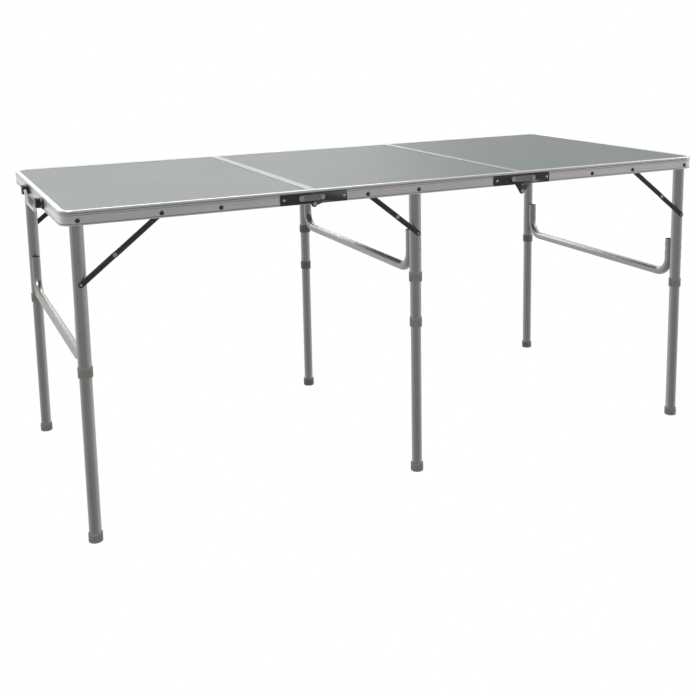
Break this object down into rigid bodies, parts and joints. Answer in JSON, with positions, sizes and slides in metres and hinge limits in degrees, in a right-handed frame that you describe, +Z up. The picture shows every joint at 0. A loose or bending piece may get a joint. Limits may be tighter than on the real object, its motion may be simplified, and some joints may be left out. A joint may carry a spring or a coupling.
{
  "type": "folding table",
  "caption": "Long rectangular table in hinged panels with folding telescopic legs, flat-bar braces and a carry handle.",
  "frame": {"origin": "on the floor, below the centre of the table", "axes": "+X along the length towards the right panel, +Y across towards the back, +Z up"},
  "size_m": [1.7541, 0.7874, 0.76],
  "materials": {
    "stone_laminate": "fine grained stone-look laminate",
    "rail_aluminium": "satin extrusion",
    "cross_tube_steel": "satin grey",
    "leg_aluminium": "satin",
    "grey_plastic": "matte",
    "black_steel": "satin black",
    "brace_steel": "satin",
    "black_plastic": "matte",
    "chrome_wire": "bright",
    "fastener_steel": "bright zinc"
  },
  "bodies": {
    "middle_panel": {"middle_board": "stone_laminate", "middle_side_rails": "rail_aluminium", "middle_seam_rails": "rail_aluminium", "middle_rail_rivets": "fastener_steel", "middle_left_hinge_leaves": "black_steel", "middle_right_hinge_leaves": "black_steel", "left_hinge_pins": "fastener_steel", "latch_catch_studs": "fastener_steel"},
    "left_panel": {"left_board": "stone_laminate", "left_side_rails": "rail_aluminium", "left_seam_rail": "rail_aluminium", "left_end_rail": "rail_aluminium", "left_rail_rivets": "fastener_steel", "left_hinge_leaves": "black_steel", "left_latch_pivots": "fastener_steel", "handle_brackets": "black_plastic", "handle_screws": "fastener_steel"},
    "right_panel": {"right_board": "stone_laminate", "right_side_rails": "rail_aluminium", "right_seam_rail": "rail_aluminium", "right_end_rail": "rail_aluminium", "right_rail_rivets": "fastener_steel", "right_hinge_leaves": "black_steel", "right_latch_pivots": "fastener_steel", "right_hinge_pins": "fastener_steel"},
    "left_latches": {"left_latch_bars": "black_steel"},
    "right_latches": {"right_latch_bars": "black_steel"},
    "handle": {"handle_grip": "chrome_wire"},
    "middle_stages": {"middle_stage_tubes": "leg_aluminium", "middle_lower_collars": "grey_plastic"},
    "left_legs": {"left_upper_tubes": "leg_aluminium", "left_cross_tube": "cross_tube_steel", "left_cross_screws": "fastener_steel", "left_leg_rivets": "fastener_steel", "left_collars": "grey_plastic"},
    "left_lower_legs": {"left_lower_tubes": "leg_aluminium", "left_feet": "grey_plastic"},
    "left_upper_braces": {"left_brace_upper_bars": "black_steel", "left_knuckle_rivets": "fastener_steel"},
    "left_lower_braces": {"left_brace_lower_bars": "black_steel"},
    "middle_legs": {"middle_upper_tubes": "leg_aluminium", "middle_cross_tube": "cross_tube_steel", "middle_cross_screws": "fastener_steel", "middle_leg_rivets": "fastener_steel", "middle_upper_collars": "grey_plastic"},
    "middle_lower_legs": {"middle_lower_tubes": "leg_aluminium", "middle_feet": "grey_plastic"},
    "middle_upper_braces": {"middle_brace_upper_bars": "black_steel", "middle_knuckle_rivets": "fastener_steel"},
    "middle_lower_braces": {"middle_brace_lower_bars": "black_steel"},
    "right_legs": {"right_upper_tubes": "leg_aluminium", "right_cross_tube": "cross_tube_steel", "right_cross_screws": "fastener_steel", "right_leg_rivets": "fastener_steel", "right_collars": "grey_plastic"},
    "right_lower_legs": {"right_lower_tubes": "leg_aluminium", "right_feet": "grey_plastic"},
    "right_upper_braces": {"right_brace_upper_bars": "brace_steel", "right_knuckle_rivets": "fastener_steel"},
    "right_lower_braces": {"right_brace_lower_bars": "brace_steel"}
  },
  "joints": [
    {"name": "left_panel_fold", "type": "hinge", "parent": "middle_panel", "child": "left_panel", "pos_m": [-0.29, 0, 0.727], "axis": [0, 1, 0], "range_deg": [-90, 0]},
    {"name": "right_panel_fold", "type": "hinge", "parent": "middle_panel", "child": "right_panel", "pos_m": [0.29, 0, 0.71], "axis": [0, -1, 0], "range_deg": [-90, 0]},
    {"name": "middle_legs_fold", "type": "hinge", "parent": "middle_panel", "child": "middle_legs", "pos_m": [-0.01, 0, 0.738], "axis": [0, 1, 0], "range_deg": [0, 83]},
    {"name": "left_legs_fold", "type": "hinge", "parent": "left_panel", "child": "left_legs", "pos_m": [-0.834, 0, 0.738], "axis": [0, -1, 0], "range_deg": [0, 90]},
    {"name": "right_legs_fold", "type": "hinge", "parent": "right_panel", "child": "right_legs", "pos_m": [0.834, 0, 0.738], "axis": [0, 1, 0], "range_deg": [0, 90]},
    {"name": "left_legs_shorten", "type": "slide", "parent": "left_legs", "child": "left_lower_legs", "axis": [0, 0, 1], "range_m": [0, 0.3]},
    {"name": "right_legs_shorten", "type": "slide", "parent": "right_legs", "child": "right_lower_legs", "axis": [0, 0, 1], "range_m": [0, 0.3]},
    {"name": "middle_stage_shorten", "type": "slide", "parent": "middle_legs", "child": "middle_stages", "axis": [0, 0, 1], "range_m": [0, 0.085]},
    {"name": "middle_legs_shorten", "type": "slide", "parent": "middle_stages", "child": "middle_lower_legs", "axis": [0, 0, 1], "range_m": [0, 0.215]},
    {"name": "handle_swing", "type": "hinge", "parent": "left_panel", "child": "handle", "pos_m": [-0.8785, 0, 0.741], "axis": [0, 1, 0], "range_deg": [0, 85]},
    {"name": "left_latches_turn", "type": "hinge", "parent": "left_panel", "child": "left_latches", "pos_m": [-0.323, 0, 0.742], "axis": [0, -1, 0], "range_deg": [0, 40]},
    {"name": "right_latches_turn", "type": "hinge", "parent": "right_panel", "child": "right_latches", "pos_m": [0.323, 0, 0.742], "axis": [0, 1, 0], "range_deg": [0, 40]},
    {"name": "left_upper_braces_turn", "type": "hinge", "parent": "left_panel", "child": "left_upper_braces", "pos_m": [-0.652, 0, 0.738], "axis": [0, 1, 0], "range_deg": [0, 37.96]},
    {"name": "left_lower_braces_turn", "type": "hinge", "parent": "left_legs", "child": "left_lower_braces", "pos_m": [-0.834, 0, 0.596], "axis": [0, -1, 0], "range_deg": [0, 52.04]},
    {"name": "right_upper_braces_turn", "type": "hinge", "parent": "right_panel", "child": "right_upper_braces", "pos_m": [0.652, 0, 0.738], "axis": [0, -1, 0], "range_deg": [0, 37.96]},
    {"name": "right_lower_braces_turn", "type": "hinge", "parent": "right_legs", "child": "right_lower_braces", "pos_m": [0.834, 0, 0.596], "axis": [0, 1, 0], "range_deg": [0, 52.04]},
    {"name": "middle_upper_braces_turn", "type": "hinge", "parent": "middle_panel", "child": "middle_upper_braces", "pos_m": [-0.149, 0, 0.738], "axis": [0, -1, 0], "range_deg": [0, 35.61]},
    {"name": "middle_lower_braces_turn", "type": "hinge", "parent": "middle_legs", "child": "middle_lower_braces", "pos_m": [-0.01, 0, 0.627], "axis": [0, 1, 0], "range_deg": [0, 47.39]}
  ],
  "couplings": [
    {"joint": "left_upper_braces_turn", "follows": "left_panel_fold", "ratio": -0.4218},
    {"joint": "left_lower_braces_turn", "follows": "left_panel_fold", "ratio": -0.5782},
    {"joint": "left_legs_fold", "follows": "left_panel_fold", "ratio": -1},
    {"joint": "left_legs_shorten", "follows": "left_panel_fold", "m_per_rad": -0.19099},
    {"joint": "right_upper_braces_turn", "follows": "right_panel_fold", "ratio": -0.4218},
    {"joint": "right_lower_braces_turn", "follows": "right_panel_fold", "ratio": -0.5782},
    {"joint": "right_legs_fold", "follows": "right_panel_fold", "ratio": -1},
    {"joint": "right_legs_shorten", "follows": "right_panel_fold", "m_per_rad": -0.19099},
    {"joint": "middle_upper_braces_turn", "follows": "middle_legs_fold", "ratio": 0.42899},
    {"joint": "middle_lower_braces_turn", "follows": "middle_legs_fold", "ratio": 0.57101},
    {"joint": "middle_stage_shorten", "follows": "middle_legs_fold", "m_per_rad": 0.058676},
    {"joint": "middle_legs_shorten", "follows": "middle_legs_fold", "m_per_rad": 0.14842}
  ]
}
